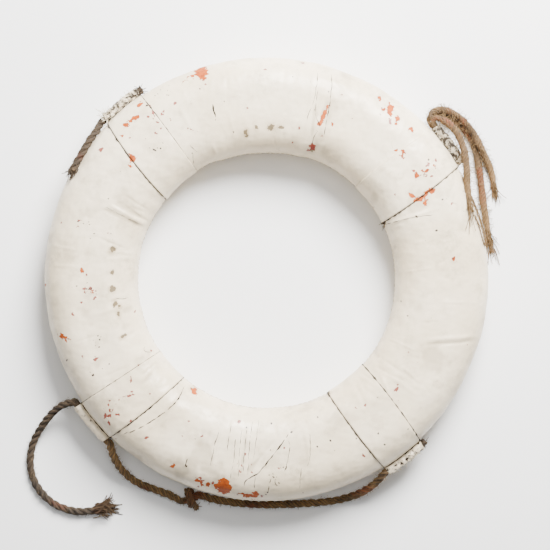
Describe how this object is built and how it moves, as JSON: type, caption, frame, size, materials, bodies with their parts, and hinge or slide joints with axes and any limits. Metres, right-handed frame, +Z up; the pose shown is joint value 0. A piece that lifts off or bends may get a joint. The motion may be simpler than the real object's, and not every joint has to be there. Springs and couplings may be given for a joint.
{
  "type": "ring lifebuoy",
  "caption": "Old cork ring lifebuoy covered in cream-painted canvas, with canvas bands round the ring and the knotted, frayed remains of its grab rope.",
  "frame": {"origin": "centre of the ring, on the surface it lies on, which is the underside of its four bands", "axes": "+Z up along the ring's axis; +Y towards the ring's top as it is shown; +X to its right"},
  "size_m": [0.8219, 0.7937, 0.1072],
  "materials": {
    "painted_canvas": "cream oil paint in many coats over canvas, semi-gloss, chipped down to an orange coat",
    "band_canvas": "painted canvas strip, worn to bare fibre at the sleeves",
    "cork": "rough cork",
    "peg_wood": "plain turned wood",
    "rope": "three-strand manila, weathered tan and grey with rust stains",
    "dark_rope": "three-strand manila, tarred dark and frayed",
    "loose_strands": "unlaid, frayed manila strand"
  },
  "bodies": {
    "root": {"cork_block_upper_1": "cork", "cork_block_upper_2": "cork", "cork_block_upper_3": "cork", "cork_block_upper_4": "cork", "cork_block_upper_5": "cork", "cork_block_upper_6": "cork", "cork_block_upper_7": "cork", "cork_block_upper_8": "cork", "cork_block_lower_1": "cork", "cork_block_lower_2": "cork", "cork_block_lower_3": "cork", "cork_block_lower_4": "cork", "cork_block_lower_5": "cork", "cork_block_lower_6": "cork", "cork_block_lower_7": "cork", "cork_block_lower_8": "cork", "wooden_peg_01": "peg_wood", "wooden_peg_02": "peg_wood", "wooden_peg_03": "peg_wood", "wooden_peg_04": "peg_wood", "wooden_peg_05": "peg_wood", "wooden_peg_06": "peg_wood", "wooden_peg_07": "peg_wood", "wooden_peg_08": "peg_wood", "wooden_peg_09": "peg_wood", "wooden_peg_10": "peg_wood", "wooden_peg_11": "peg_wood", "wooden_peg_12": "peg_wood", "wooden_peg_13": "peg_wood", "wooden_peg_14": "peg_wood", "wooden_peg_15": "peg_wood", "wooden_peg_16": "peg_wood", "canvas_cover_top": "painted_canvas", "canvas_cover_left": "painted_canvas", "canvas_cover_bottom": "painted_canvas", "canvas_cover_right": "painted_canvas", "canvas_band_upper_right": "band_canvas", "canvas_band_upper_left": "band_canvas", "canvas_band_lower_left": "band_canvas", "canvas_band_lower_right": "band_canvas", "rope_held_upper_right": "rope", "rope_held_upper_left": "rope", "rope_held_lower_left": "rope", "rope_held_lower_right": "rope", "rope_tail_upper_left": "dark_rope", "rope_tail_lower_left": "dark_rope", "rope_span_to_knot": "rope", "rope_span_from_knot": "rope", "rope_strand_outer": "loose_strands", "rope_strand_middle": "loose_strands", "rope_strand_inner": "loose_strands", "rope_knot": "rope"}
  },
  "joints": []
}
